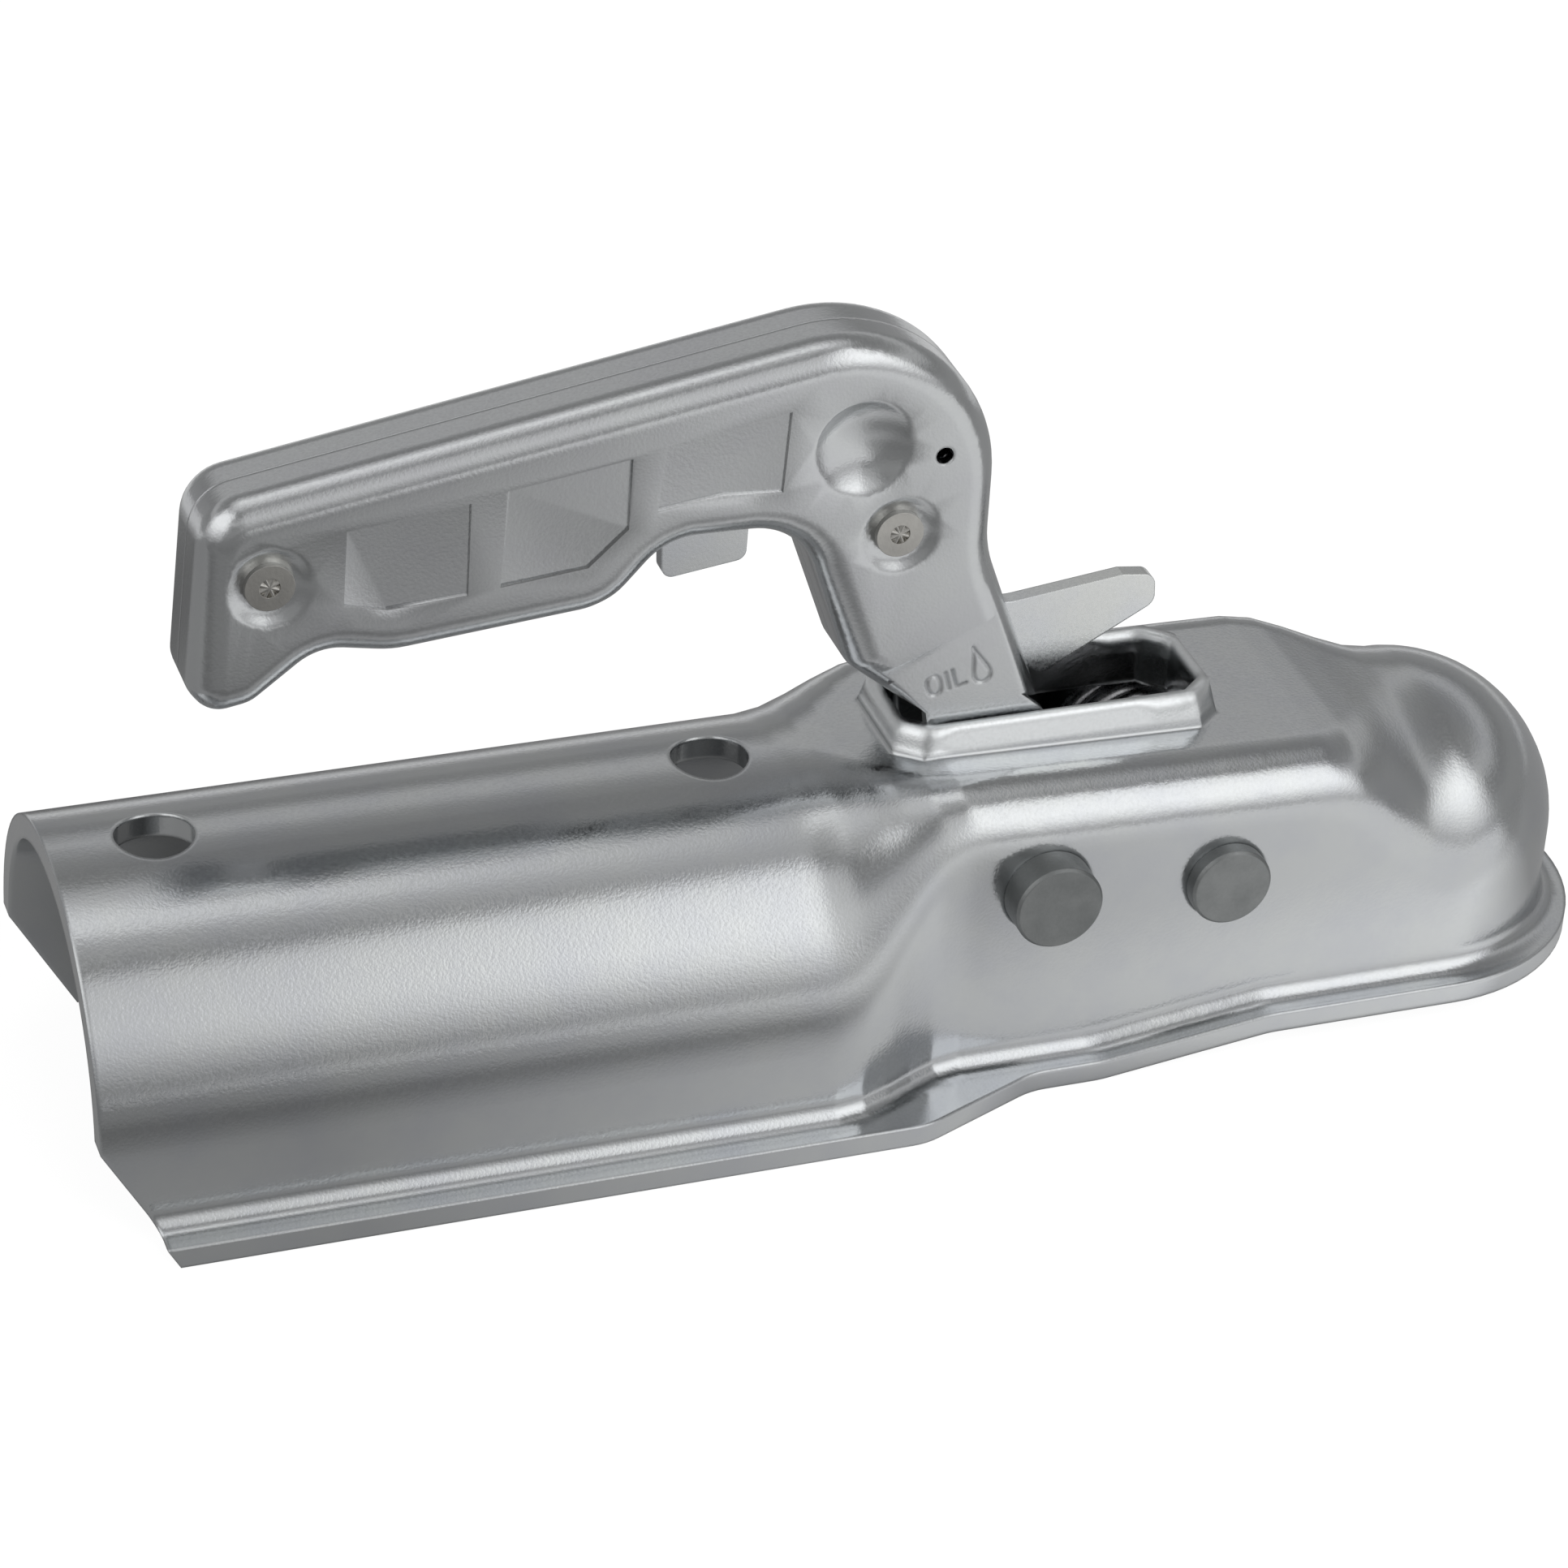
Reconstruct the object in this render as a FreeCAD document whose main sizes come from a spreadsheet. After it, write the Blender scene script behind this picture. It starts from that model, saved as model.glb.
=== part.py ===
import FreeCAD, Part
import math
import os
import Sketcher

# Trailer coupling head for a round drawbar tube and a 50 mm ball.
# Local datum of every sub-part: X = 0 at the rear bolt hole, +X to the nose,
# Y = 0 in the middle plane, Z = 0 under the tube flange. The finished pieces
# are then shifted by one named amount, so that the origin lies under the
# middle of the head.

V = FreeCAD.Vector
doc = FreeCAD.newDocument("coupling_head")
sheet = doc.addObject("Spreadsheet::Sheet", "Sizes")

# Every size of the head, in mm and degrees. All of them go into the sheet below.
before = set(vars())
# Pressed housing
sheet_thick = 4.5  # housing sheet
tube_bore = 35.1  # inner radius of the tube saddle, for a 70 mm tube
tube_axis_z = 18.6  # height of the tube axis over the flange underside
rear_length = 19.0  # rear bolt hole to the open end
bolt_spacing = 100.0  # between the two bolt holes
bolt_hole_rad = 7.0  # bolt hole radius
neck_x = 112.6  # end of the tube section
box_x = 138.9  # start of the flat sided section
box_top_rear = 59.0  # top of the flat sided section, rear
box_top_front = 57.3  # top of the flat sided section, front
shoulder_rad = 11.0  # outer shoulder radius of the flat sided section
shoulder_x = 209.0  # where the shoulder starts to turn into the dome
nose_x = 235.0  # ball centre, along
ball_z = 24.9  # ball centre, height
ball_rad = 25.0  # radius of the tow ball
socket_gap = 0.5  # socket over ball
dome_wall = 5.2  # wall of the dome
crown_flat = 0.6  # half width of the flat along the crown
flange_thick = 4.0  # thickness of the bottom flange
flange_lip = 6.6  # flange past the tube wall, wider than its fillet
flange_half = "=tube_bore + sheet_thick + flange_lip"  # half width of the flange along the tube
flange_reach = 5.5  # flange past the side walls at the nose
flange_taper_x = 128.0  # start of the flange taper
flange_taper_run = 23.5  # length of the flange taper
flange_rise = 4.4  # step up of the nose flange
rise_x = 165.0  # start of the step up
rise_run = 33.0  # length of the step up
flange_fillet = 4.0  # fillet between wall and flange
end_cut_len = 12.5  # oblique cut of the open end, along
end_cut_high = 21.0  # oblique cut of the open end, height
# Top slot with its raised collar
slot_rear_x = 133.5  # rear end of the slot
slot_front_x = 190.5  # front end of the slot
slot_half = 10.8  # half width of the slot
slot_corner_x = 4.5  # corner chamfer of the slot, along
slot_corner_y = 4.0  # corner chamfer of the slot, across
collar_top = 64.5  # height of the collar
collar_lip = 1.3  # thickness of the collar at its lip
collar_foot = 4.0  # thickness of the collar at its foot
# Pins
pivot_x = 153.8  # handle pivot, along
pivot_z = 39.5  # handle pivot, height
pivot_rad = 8.2  # handle pivot pin radius
pivot_stick = 6.1  # pivot pin past the side wall
jaw_x = 188.5  # jaw pivot, along
jaw_z = 36.0  # jaw pivot, height
jaw_pin_rad = 7.6  # jaw pivot pin radius
jaw_stick = 3.0  # jaw pin past the side wall
pin_edge = 0.5  # edge break of the pin ends
run_gap = 0.05  # radial running clearance
side_gap = 0.3  # axial running clearance
# Handle
handle_half = 10.5  # half thickness of the handle
handle_sheet = 2.5  # sheet of the handle shells
handle_round = 5.8  # outer edge radius of the shells
grip_angle = 9.6  # slope of the grip
grip_rear_x = 5.0  # rear end of the grip
grip_top_z = 123.4  # top of the grip at its rear end
grip_deep = 30.5  # depth of the grip at its rear
arm_front_x = 147.2  # front of the arm
arm_wide = 26.5  # width of the arm
bend_rad = 30.0  # outer radius of the bend
arch_top_z = 105.5  # underside of the grip over the trigger tab
fold_z = 82.5  # fold of the arm at its front edge
cheek_half = 9.8  # outer half spacing of the cheeks
cheek_eye = 14.5  # cheek radius round the pivot
panel_deep = 0.7  # depth of the pressed fields
dimple_rad = 9.6  # radius of the round dimple
dimple_deep = 3.2  # depth of the round dimple
dish_rad = 8.0  # radius of the dish round a rivet
dish_deep = 1.4  # depth of the dish round a rivet
rivet_inset = 17.9  # front rivet behind the front of the arm
rivet_front_x = "=arm_front_x - rivet_inset"  # front rivet, along
rivet_front_z = 104.0  # front rivet, height
rivet_rear_x = 18.0  # rear rivet, along
rivet_rear_z = 109.3  # rear rivet, height
rivet_rad = 3.0  # rivet shank radius
rivet_head = 4.3  # rivet head radius
sleeve_rad = 5.0  # outer radius of the sleeves between the shells
# Trigger lever with its catch
trigger_thick = 3.0  # sheet of the trigger lever
trigger_squeeze = 20.0  # travel of the trigger, degrees
# Linkage
link_dx = 2.64  # link pin ahead of the pivot
link_dz = 18.82  # link pin below the pivot
link_pin_rad = 4.0  # link pin radius
link_eye = 7.0  # eye radius of the links
link_thick = 3.0  # sheet of the links
bush_wall = 2.3  # wall of the bush on the pivot pin
jaw_link_dx = 1.88  # jaw link pin ahead of the jaw pivot
jaw_link_dz = 26.93  # jaw link pin below the jaw pivot
jaw_half = 17.0  # half width of the jaw face
jaw_hub = 6.0  # half width of the jaw hub
jaw_hub_rad = 12.0  # radius of the jaw hub
link_in = 4.0  # inner face of each link, from the middle
link_run = "=jaw_x + jaw_link_dx - pivot_x - link_dx"  # link pin to jaw link pin, along
link_drop = "=pivot_z - link_dz - jaw_z + jaw_link_dz"  # link pin to jaw link pin, down
link_len = "=sqrt(link_run * link_run + link_drop * link_drop)"  # between the eyes of a link
open_gap = 0.7  # radial clearance of the links on the jaw link pin
clip_wide = 1.2  # width of a retaining ring
clip_rad = 6.2  # outer radius of a retaining ring
spacer_rad = 11.0  # outer radius of the pivot spacers
spacer_gap = 1.0  # spacer to side wall, clear of the inner shoulder
sleeve_out = 10.0  # outer radius of the sleeves on the jaw pin
wire_rad = 2.25  # wire of the main spring
coil_rad = 13.2  # mean radius of the main spring
coil_pitch = 4.7  # pitch of the main spring
coil_turns = 2.831  # turns on each side of the main spring
coil_start = 156.3  # where the inner end leaves the coil, degrees
coil_in = 8.8  # first coil, from the middle
bridge_leg = 7.2  # coil to the bridge of the main spring
outer_leg = 36.0  # length of the outer legs of the main spring
hair_rad = 0.6  # wire of the trigger spring
hair_coil = 6.2  # mean radius of the trigger spring
hair_leg = 11.0  # leg length of the trigger spring

# The head's own origin lies under the middle of its length.
# from the rear bolt hole to the origin
origin_shift = "=-(nose_x + ball_rad + socket_gap + dome_wall + flange_reach - rear_length) / 2"

SIZES = [(name, value) for name, value in list(vars().items())
         if name not in before and isinstance(value, (float, str))]
for row, (name, value) in enumerate(SIZES, 1):
    sheet.set("A%d" % row, name)
    sheet.set("B%d" % row, str(value))
    sheet.setAlias("B%d" % row, name)
doc.recompute()


def get(name):
    return float(sheet.get(name))


def place(obj, label):
    obj.Label = label
    obj.setExpression("Placement.Base.x", "Sizes.origin_shift")
    return obj


def bind(obj, **terms):
    for prop, term in terms.items():
        obj.setExpression(prop.replace("__", "."), term)
    return obj


FLAT = {"XZ": FreeCAD.Rotation(V(1, 0, 0), 90), "XY": FreeCAD.Rotation(),
        "YZ": FreeCAD.Rotation(V(1, 1, 1), 120)}
OFFSET = {"XZ": "y", "XY": "z", "YZ": "x"}


def outline(name, plane, corners, at=None):
    """Closed sketch with straight sides; every corner is held by two sizes."""
    sk = doc.addObject("Sketcher::SketchObject", name)
    sk.Placement = FreeCAD.Placement(V(), FLAT[plane])
    if at is not None:
        sk.setExpression("Placement.Base." + OFFSET[plane], prefix(at))
    spots = [(sheet_value(a), sheet_value(b)) for a, b in corners]
    count = len(spots)
    for i in range(count):
        a, b = spots[i], spots[(i + 1) % count]
        sk.addGeometry(Part.LineSegment(V(a[0], a[1], 0), V(b[0], b[1], 0)), False)
    for i in range(count):
        sk.addConstraint(Sketcher.Constraint("Coincident", i, 2, (i + 1) % count, 1))
    for i in range(count):
        for kind, spot, term in (("DistanceX", spots[i][0], corners[i][0]),
                                 ("DistanceY", spots[i][1], corners[i][1])):
            n = sk.addConstraint(Sketcher.Constraint(kind, -1, 1, i, 1, spot))
            sk.setExpression("Constraints[%d]" % n, prefix(term))
    return sk


WORDS = [name for name, value in SIZES]


def prefix(term):
    """Puts the sheet's name before each size named in a term."""
    out, word = "", ""
    for c in term + " ":
        if c.isalnum() or c == "_":
            word += c
        else:
            out += ("Sizes." + word) if word in WORDS else word
            out += c
            word = ""
    return out.strip()


probe = doc.addObject("App::FeaturePython", "Probe")
probe.addProperty("App::PropertyFloat", "Value")


def sheet_value(term):
    probe.setExpression("Value", prefix(term))
    probe.recompute()
    return probe.Value


def section(name, at, half, top, corner, foot="0"):
    """Arch section: two walls, two rounded shoulders and a flat top."""
    sk = doc.addObject("Sketcher::SketchObject", name)
    sk.Placement = FreeCAD.Placement(V(), FLAT["YZ"])
    sk.setExpression("Placement.Base.x", prefix(at))
    w, t, r, f = (sheet_value(q) for q in (half, top, corner, foot))
    arc = Part.ArcOfCircle
    sk.addGeometry(Part.LineSegment(V(-w, f, 0), V(-w, t - r, 0)), False)
    sk.addGeometry(arc(Part.Circle(V(r - w, t - r, 0), V(0, 0, 1), r), math.pi / 2, math.pi), False)
    sk.addGeometry(Part.LineSegment(V(r - w, t, 0), V(w - r, t, 0)), False)
    sk.addGeometry(arc(Part.Circle(V(w - r, t - r, 0), V(0, 0, 1), r), 0, math.pi / 2), False)
    sk.addGeometry(Part.LineSegment(V(w, t - r, 0), V(w, f, 0)), False)
    sk.addGeometry(Part.LineSegment(V(w, f, 0), V(-w, f, 0)), False)
    C = Sketcher.Constraint
    for c in (C("Tangent", 0, 2, 1, 2), C("Tangent", 1, 1, 2, 1), C("Tangent", 2, 2, 3, 2),
              C("Tangent", 3, 1, 4, 1), C("Coincident", 4, 2, 5, 1), C("Coincident", 5, 2, 0, 1),
              C("Vertical", 0), C("Vertical", 4), C("Horizontal", 2), C("Horizontal", 5)):
        sk.addConstraint(c)
    for kind, args, term, value in (
            ("DistanceX", (-1, 1, 0, 1), "-(%s)" % half, -w), ("DistanceX", (-1, 1, 4, 2), half, w),
            ("DistanceY", (-1, 1, 0, 1), foot, f), ("DistanceY", (-1, 1, 2, 1), top, t),
            ("Radius", (1,), corner, r), ("Radius", (3,), corner, r)):
        n = sk.addConstraint(C(kind, *args, value))
        sk.setExpression("Constraints[%d]" % n, prefix(term))
    return sk


def loft(name, parts):
    body = doc.addObject("Part::Loft", name)
    body.Sections = parts
    body.Solid = True
    body.Ruled = True
    return body


def extrude(name, sk, direction, length, both=False):
    body = doc.addObject("Part::Extrusion", name)
    body.Base = sk
    body.DirMode = "Custom"
    body.Dir = direction
    body.Solid = True
    body.Symmetric = both
    body.setExpression("LengthFwd", prefix(length))
    return body


def drum(name, rad, length, where, along="Z"):
    """Round bar from a point; where and sizes are terms."""
    body = doc.addObject("Part::Cylinder", name)
    turn = {"Z": FreeCAD.Rotation(), "Y": FreeCAD.Rotation(V(1, 0, 0), -90),
            "X": FreeCAD.Rotation(V(0, 1, 0), 90)}[along]
    body.Placement = FreeCAD.Placement(V(), turn)
    bind(body, Radius=prefix(rad), Height=prefix(length))
    for axis, term in zip("xyz", where):
        body.setExpression("Placement.Base." + axis, prefix(term))
    return body


def fuse(name, parts):
    body = doc.addObject("Part::MultiFuse", name)
    body.Shapes = parts
    body.Refine = True
    return body


def cut(name, base, tool):
    body = doc.addObject("Part::Cut", name)
    body.Base = base
    body.Tool = tool
    body.Refine = True
    return body


def common(name, a, b):
    body = doc.addObject("Part::Common", name)
    body.Base = a
    body.Tool = b
    return body


def soften(name, base, choose, rad):
    """Rounds the edges that the rule picks."""
    doc.recompute()
    picked = [i + 1 for i, e in enumerate(base.Shape.Edges) if choose(e)]
    body = doc.addObject("Part::Fillet", name)
    body.Base = base
    body.Edges = [(i, rad, rad) for i in picked]
    return body


def mid(edge):
    a, b = edge.ParameterRange
    return edge.valueAt((a + b) / 2)


def near(a, b, tol=0.02):
    return abs(a - b) < tol


# Housing: one pressing, made as an outer form less an inner form.
ball_out = "(ball_rad + socket_gap + dome_wall)"
ball_in = "(ball_rad + socket_gap)"
tube_out = "(tube_bore + sheet_thick)"
EASE = 5


def eased(tag, begin, end, foot):
    """Row of sections from one to another: slow at both ends, so that no crease is left."""
    row = []
    for k in range(EASE + 1):
        t = k / EASE
        part = t * t * (3 - 2 * t)
        at = "(%s) + ((%s) - (%s)) * %.4f" % (begin[0], end[0], begin[0], t)
        row.append(section(tag + str(k), at, *["(%s) + ((%s) - (%s)) * %.4f" % (a, b, a, part)
                                               for a, b in zip(begin[1:], end[1:])], foot))
    return row


def pressing(tag, grow, nose, start, foot):
    """The form of the pressing at one face of the sheet."""
    top_tube = "tube_axis_z + tube_bore - crown_flat + " + grow
    half = "%s - sheet_thick + %s" % (ball_out, grow)
    corner = "shoulder_rad - sheet_thick + " + grow
    down = " - sheet_thick + " + grow
    tube = "tube_bore + " + grow
    round_tube = ("neck_x", tube, top_tube, tube + " - crown_flat")
    box_rear = ("box_x", half, "box_top_rear" + down, corner)
    box_front = ("shoulder_x", half, "box_top_front" + down, corner)
    dome = ("nose_x", nose, "ball_z + %s - crown_flat" % nose, nose + " - crown_flat")
    parts = [section(tag + "TubeRear", start, *round_tube[1:], foot)]
    parts += eased(tag + "Neck", round_tube, box_rear, foot) + eased(tag + "Shoulder", box_front, dome, foot)
    body = loft(tag + "Body", parts)
    half_section = doc.addObject("Sketcher::SketchObject", tag + "NoseHalf")
    half_section.Placement = FreeCAD.Placement(V(), FLAT["YZ"])
    half_section.setExpression("Placement.Base.x", "Sizes.nose_x")
    w, zc, f, low = (sheet_value(q) for q in (nose, "ball_z", "crown_flat", foot))
    arc = Part.ArcOfCircle(Part.Circle(V(f, zc, 0), V(0, 0, 1), w - f), 0, math.pi / 2)
    for piece in (Part.LineSegment(V(0, low, 0), V(w, low, 0)), Part.LineSegment(V(w, low, 0), V(w, zc, 0)),
                  arc, Part.LineSegment(V(f, zc + w - f, 0), V(0, zc + w - f, 0)),
                  Part.LineSegment(V(0, zc + w - f, 0), V(0, low, 0))):
        half_section.addGeometry(piece, False)
    C = Sketcher.Constraint
    for c in (C("Coincident", 0, 2, 1, 1), C("Tangent", 1, 2, 2, 1), C("Tangent", 2, 2, 3, 1),
              C("Coincident", 3, 2, 4, 1), C("Coincident", 4, 2, 0, 1),
              C("Horizontal", 0), C("Vertical", 1), C("Horizontal", 3), C("Vertical", 4),
              C("PointOnObject", 0, 1, -2)):
        half_section.addConstraint(c)
    for kind, args, term, value in (("DistanceX", (-1, 1, 1, 1), nose, w), ("DistanceY", (-1, 1, 0, 1), foot, low),
                                    ("Radius", (2,), nose + " - crown_flat", w - f),
                                    ("DistanceY", (-1, 1, 1, 2), "ball_z", zc)):
        n = half_section.addConstraint(C(kind, *args, value))
        half_section.setExpression("Constraints[%d]" % n, prefix(term))
    front = doc.addObject("Part::Revolution", tag + "Nose")
    front.Source = half_section
    front.Axis = V(0, 0, -1)
    front.Angle = 180
    front.Solid = True
    front.setExpression("Base.x", "Sizes.nose_x")
    return [body, front]


outer = pressing("Outer", "sheet_thick", ball_out, "-rear_length", "0")
inner = pressing("Inner", "0", ball_in, "-rear_length - 5", "-3")

flange_far = "(nose_x + %s + flange_reach)" % ball_out
plan = outline("FlangePlan", "XY", [
    ("-rear_length", "-flange_half"), ("flange_taper_x", "-flange_half"),
    ("flange_taper_x + flange_taper_run", "-(%s + flange_reach)" % ball_out),
    ("nose_x", "-(%s + flange_reach)" % ball_out), ("nose_x", "%s + flange_reach" % ball_out),
    ("flange_taper_x + flange_taper_run", "%s + flange_reach" % ball_out),
    ("flange_taper_x", "flange_half"), ("-rear_length", "flange_half")])
plate = extrude("FlangePlate", plan, V(0, 0, 1), "flange_thick + flange_rise + 4")
tip = drum("FlangeTip", "%s + flange_reach" % ball_out, "flange_thick + flange_rise + 4",
           ("nose_x", "0", "0"))
plan_solid = fuse("FlangeForm", [plate, tip])
plan_round = soften("FlangeRound", plan_solid, lambda e: near(e.Length, get("flange_thick")
                    + get("flange_rise") + 4) and get("flange_taper_x") - 1 < mid(e).x
                    < get("flange_taper_x") + get("flange_taper_run") + 1, 14.0)
band_sketch = outline("FlangeSide", "XZ", [
    ("-rear_length - 1", "0"), ("rise_x", "0"), ("rise_x + rise_run", "flange_rise"),
    (flange_far + " + 1", "flange_rise"), (flange_far + " + 1", "flange_rise + flange_thick"),
    ("rise_x + rise_run", "flange_rise + flange_thick"), ("rise_x", "flange_thick"),
    ("-rear_length - 1", "flange_thick")])
band = extrude("FlangeBand", band_sketch, V(0, 1, 0), "2 * flange_half + 2", True)
band_soft = soften("FlangeBandSoft", band, lambda e: (near(mid(e).x, get("rise_x"), 0.3)
                   or near(mid(e).x, get("rise_x") + get("rise_run"), 0.3))
                   and abs(mid(e).y) < 1 and e.Length > 60, 25.0)
flange = common("Flange", band_soft, plan_round)
under_sketch = outline("UnderSide", "XZ", [
    ("rise_x", "-1"), ("rise_x", "0"), ("rise_x + rise_run", "flange_rise"),
    (flange_far + " + 1", "flange_rise"), (flange_far + " + 1", "-1")])
under = extrude("UnderCut", under_sketch, V(0, 1, 0), "2 * flange_half + 2", True)
walls = cut("OuterWalls", fuse("OuterForm", outer), under)
shell = fuse("OuterShell", [walls, flange])
doc.recompute()


def wall_foot(e):
    """Edges where the side walls stand on the flange."""
    p = mid(e)
    low, high = get("flange_thick"), get("flange_thick") + get("flange_rise")
    if e.Length < 0.5 or not low - 0.1 < p.z < high + 0.1:
        return False
    ends = [v.Point for v in e.Vertexes]
    for q in ends + [p]:
        if not low - 0.1 < q.z < high + 0.1:
            return False
        if q.x < get("neck_x") + 0.1:
            want = get("tube_bore") + get("sheet_thick")
            if abs(abs(q.y) - want) > 0.1:
                return False
        elif abs(q.y) > get("tube_bore") + get("sheet_thick") + 0.1:
            return False
    if p.x > get("box_x"):
        reach = get("ball_rad") + get("socket_gap") + get("dome_wall")
        r = abs(p.y) if p.x < get("nose_x") else math.hypot(p.x - get("nose_x"), p.y)
        return near(r, reach, 0.1)
    return True


shell_soft = soften("ShellSoft", shell, wall_foot, get("flange_fillet"))
doc.recompute()

# The hollow, the open end, the slot with its collar and the holes.
wedge_sketch = outline("EndWedge", "XZ", [
    ("-rear_length - 1", "end_cut_high"), ("-rear_length", "end_cut_high"),
    ("-rear_length + end_cut_len", "-1"), ("-rear_length - 1", "-1")])
wedge = extrude("EndCut", wedge_sketch, V(0, 1, 0), "2 * flange_half + 2", True)


def slot_outline(name, at, grow):
    """Slot form with cut corners, made larger all round by one amount."""
    back, tip_x, side = "slot_rear_x - " + grow, "slot_front_x + " + grow, "(slot_half + %s)" % grow
    edge = "(slot_half - slot_corner_y + %s)" % grow
    return outline(name, "XY", [
        (back, "-" + edge), (back + " + slot_corner_x", "-" + side),
        (tip_x + " - slot_corner_x", "-" + side), (tip_x, "-" + edge), (tip_x, edge),
        (tip_x + " - slot_corner_x", side), (back + " + slot_corner_x", side), (back, edge)], at)


collar = loft("Collar", [slot_outline("CollarFoot", "box_top_front - sheet_thick", "collar_foot"),
                         slot_outline("CollarTop", "collar_top", "collar_lip")])
slot = extrude("Slot", slot_outline("SlotForm", "box_top_front - 20", "0"), V(0, 0, 1), "40")
bolt_rear = drum("BoltRear", "bolt_hole_rad", "30", ("0", "0", "tube_axis_z + tube_bore - 12"))
bolt_front = drum("BoltFront", "bolt_hole_rad", "30",
                  ("bolt_spacing", "0", "tube_axis_z + tube_bore - 12"))
wide = "2 * flange_half"
pivot_hole = drum("PivotHole", "pivot_rad", wide, ("pivot_x", "-flange_half", "pivot_z"), "Y")
jaw_hole = drum("JawHole", "jaw_pin_rad", wide, ("jaw_x", "-flange_half", "jaw_z"), "Y")
with_collar = fuse("WithCollar", [shell_soft, collar])
doc.recompute()
hollow = fuse("Hollow", inner)
openings = fuse("Openings", [wedge, slot, bolt_rear, bolt_front, pivot_hole, jaw_hole])
housing = place(cut("Housing", cut("HousingOpen", with_collar, hollow), openings), "housing")

# Handle: two mirrored pressed shells that meet in the middle plane.
rise = "tan(grip_angle)"
handle_form = outline("HandleForm", "XZ", [
    ("grip_rear_x + 2", "grip_top_z + 2 * " + rise),
    ("arm_front_x", "grip_top_z + (arm_front_x - grip_rear_x) * " + rise),
    ("arm_front_x", "fold_z + 15"), ("arm_front_x + 5", "fold_z + 1.5"),
    ("arm_front_x + 12.2", "collar_top + side_gap + 0.3"),
    ("arm_front_x - arm_wide + 15.8", "collar_top + side_gap + 0.3"),
    ("arm_front_x - arm_wide + 1.6", "collar_top + 12.3"),
    ("arm_front_x - arm_wide - 9", "arch_top_z + 1"),
    ("arm_front_x - arm_wide - 32.5", "arch_top_z + 1.5"),
    ("arm_front_x - arm_wide - 41.5", "arch_top_z - 8.5"),
    ("arm_front_x - arm_wide - 46.5", "arch_top_z - 10.3"),
    ("grip_rear_x + 34.5", "grip_top_z - grip_deep - 0.8"),
    ("grip_rear_x + 22", "grip_top_z - grip_deep + 1.6"),
    ("grip_rear_x + 10.5", "grip_top_z - grip_deep - 7.3"),
    ("grip_rear_x + 3", "grip_top_z - grip_deep - 8.6"),
    ("grip_rear_x - 0.6", "grip_top_z - grip_deep - 3.5")])
shell_pad = extrude("ShellPad", handle_form, V(0, -1, 0), "handle_half")
doc.recompute()

CORNERS = {0: 9.0, 1: get("bend_rad"), 2: 25.0, 5: 4.0, 6: 6.0, 7: 13.0, 8: 11.0, 9: 12.0,
           10: 12.0, 11: 20.0, 12: 9.0, 13: 7.0, 14: 5.0, 15: 5.0}


def round_corners(name, base, sketch, radii, plane="XZ"):
    """Rounds the edges that stand on numbered corners of an outline."""
    doc.recompute()
    spots = [sketch.Placement.multVec(g.StartPoint) for g in sketch.Geometry]
    picked = []
    for i, e in enumerate(base.Shape.Edges):
        if len(e.Vertexes) != 2:
            continue
        d = e.Vertexes[1].Point - e.Vertexes[0].Point
        flat = V(d.x, 0, d.z) if plane == "XZ" else V(d.x, d.y, 0)
        if flat.Length > 0.01:
            continue
        p = mid(e)
        for k, r in radii.items():
            q = spots[k]
            off = math.hypot(p.x - q.x, p.z - q.z) if plane == "XZ" else math.hypot(p.x - q.x, p.y - q.y)
            if off < 0.05:
                picked.append((i + 1, r, r))
    body = doc.addObject("Part::Fillet", name)
    body.Base = base
    body.Edges = picked
    doc.recompute()
    return body


shell_plan = round_corners("ShellPlan", shell_pad, handle_form, CORNERS)
shell_dome = soften("ShellDome", shell_plan,
                    lambda e: all(near(v.Y, -get("handle_half")) for v in e.Vertexes), get("handle_round"))
doc.recompute()
seam_face = [i + 1 for i, f in enumerate(shell_dome.Shape.Faces)
             if abs(f.CenterOfMass.y) < 0.01 and f.Area > 1000]
tray = doc.addObject("Part::Thickness", "Tray")
tray.Faces = (shell_dome, ["Face%d" % seam_face[0]])
tray.setExpression("Value", "-Sizes.handle_sheet")
tray.Join = 0
tray.Mode = 0
doc.recompute()

# Cheek: the flat lower end of a shell that carries the pivot and the link pin.
cheek_form = outline("CheekForm", "XZ", [
    ("arm_front_x - 2", "fold_z - 1"), ("arm_front_x - 18", "fold_z - 9"),
    ("arm_front_x - 10.5", "collar_top + 2"), ("pivot_x - cheek_eye + 0.6", "pivot_z + 4"),
    ("pivot_x + cheek_eye - 0.6", "pivot_z + 4"), ("arm_front_x + 12.2", "collar_top - 1"),
    ("arm_front_x + 6", "collar_top + 4.5")])
cheek_plate = extrude("CheekPlate", cheek_form, V(0, 1, 0), "handle_sheet")
cheek_plate.setExpression("Placement.Base.y", "-Sizes.cheek_half")
cheek_top = drum("CheekTop", "cheek_eye", "handle_sheet", ("pivot_x", "-cheek_half", "pivot_z"), "Y")
cheek_low = drum("CheekLow", "link_eye + 0.8", "handle_sheet",
                 ("pivot_x + link_dx", "-cheek_half", "pivot_z - link_dz"), "Y")
web_form = outline("CheekWeb", "XZ", [
    ("pivot_x - cheek_eye + 0.5", "pivot_z"), ("pivot_x + link_dx - link_eye - 0.4", "pivot_z - link_dz"),
    ("pivot_x + link_dx + link_eye + 0.4", "pivot_z - link_dz"), ("pivot_x + cheek_eye - 0.5", "pivot_z")])
cheek_web = extrude("CheekWebPlate", web_form, V(0, 1, 0), "handle_sheet")
cheek_web.setExpression("Placement.Base.y", "-Sizes.cheek_half")
cheek = fuse("Cheek", [cheek_plate, cheek_top, cheek_low, cheek_web])

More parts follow.
